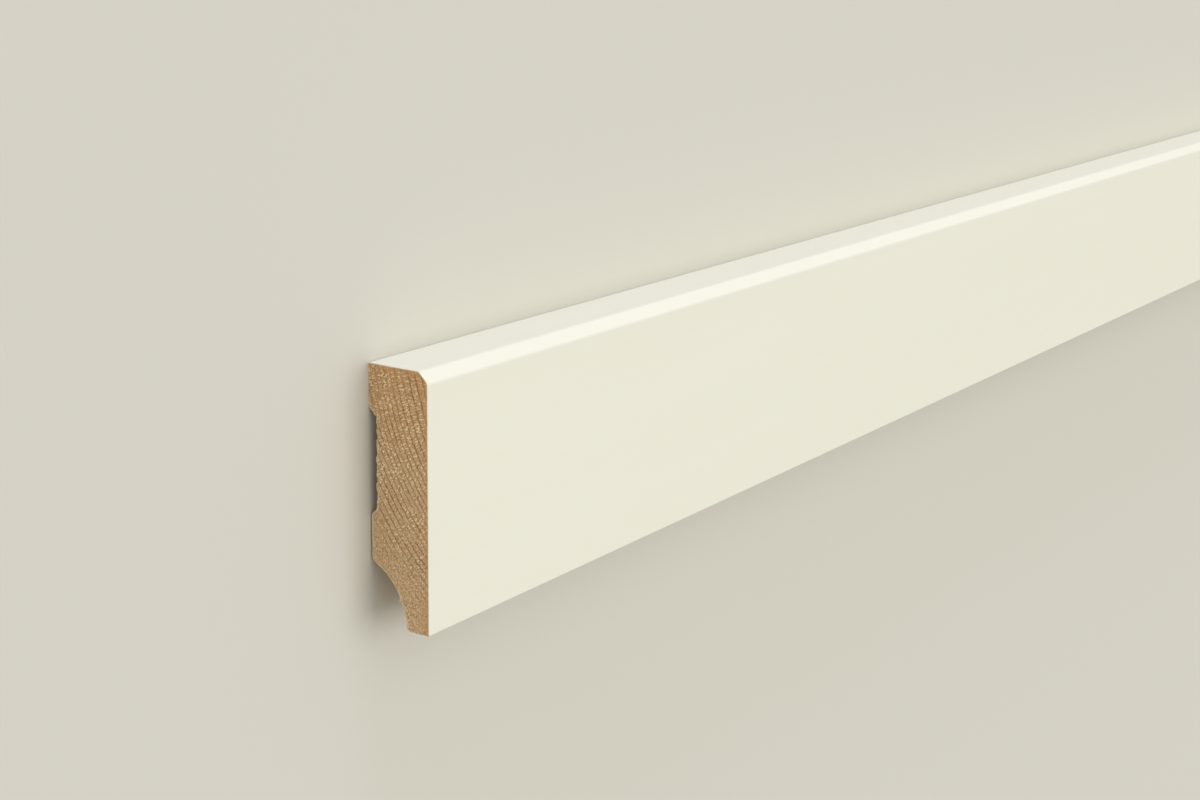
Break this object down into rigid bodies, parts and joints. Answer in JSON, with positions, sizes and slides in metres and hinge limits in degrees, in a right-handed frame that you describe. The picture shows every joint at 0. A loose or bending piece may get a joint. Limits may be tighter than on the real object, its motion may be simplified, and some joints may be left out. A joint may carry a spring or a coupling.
{
  "type": "skirting board",
  "caption": "Straight softwood skirting board with a white coated front, chamfered top edge, shallow relief in its back and a concave cable channel at its foot.",
  "frame": {"origin": "middle of the board's length and height, on the level surface that its back lies on", "axes": "+X along the board, +Y from the floor edge towards the chamfered top edge, +Z from the back towards the coated front"},
  "size_m": [2.4, 0.058, 0.016],
  "materials": {
    "coated_wood": "satin off-white coating on the front, chamfer and top",
    "bare_wood": "bare softwood, planed and milled on the back and floor edge, sawn on the ends"
  },
  "bodies": {
    "root": {"skirting_board": "coated_wood"}
  },
  "joints": []
}
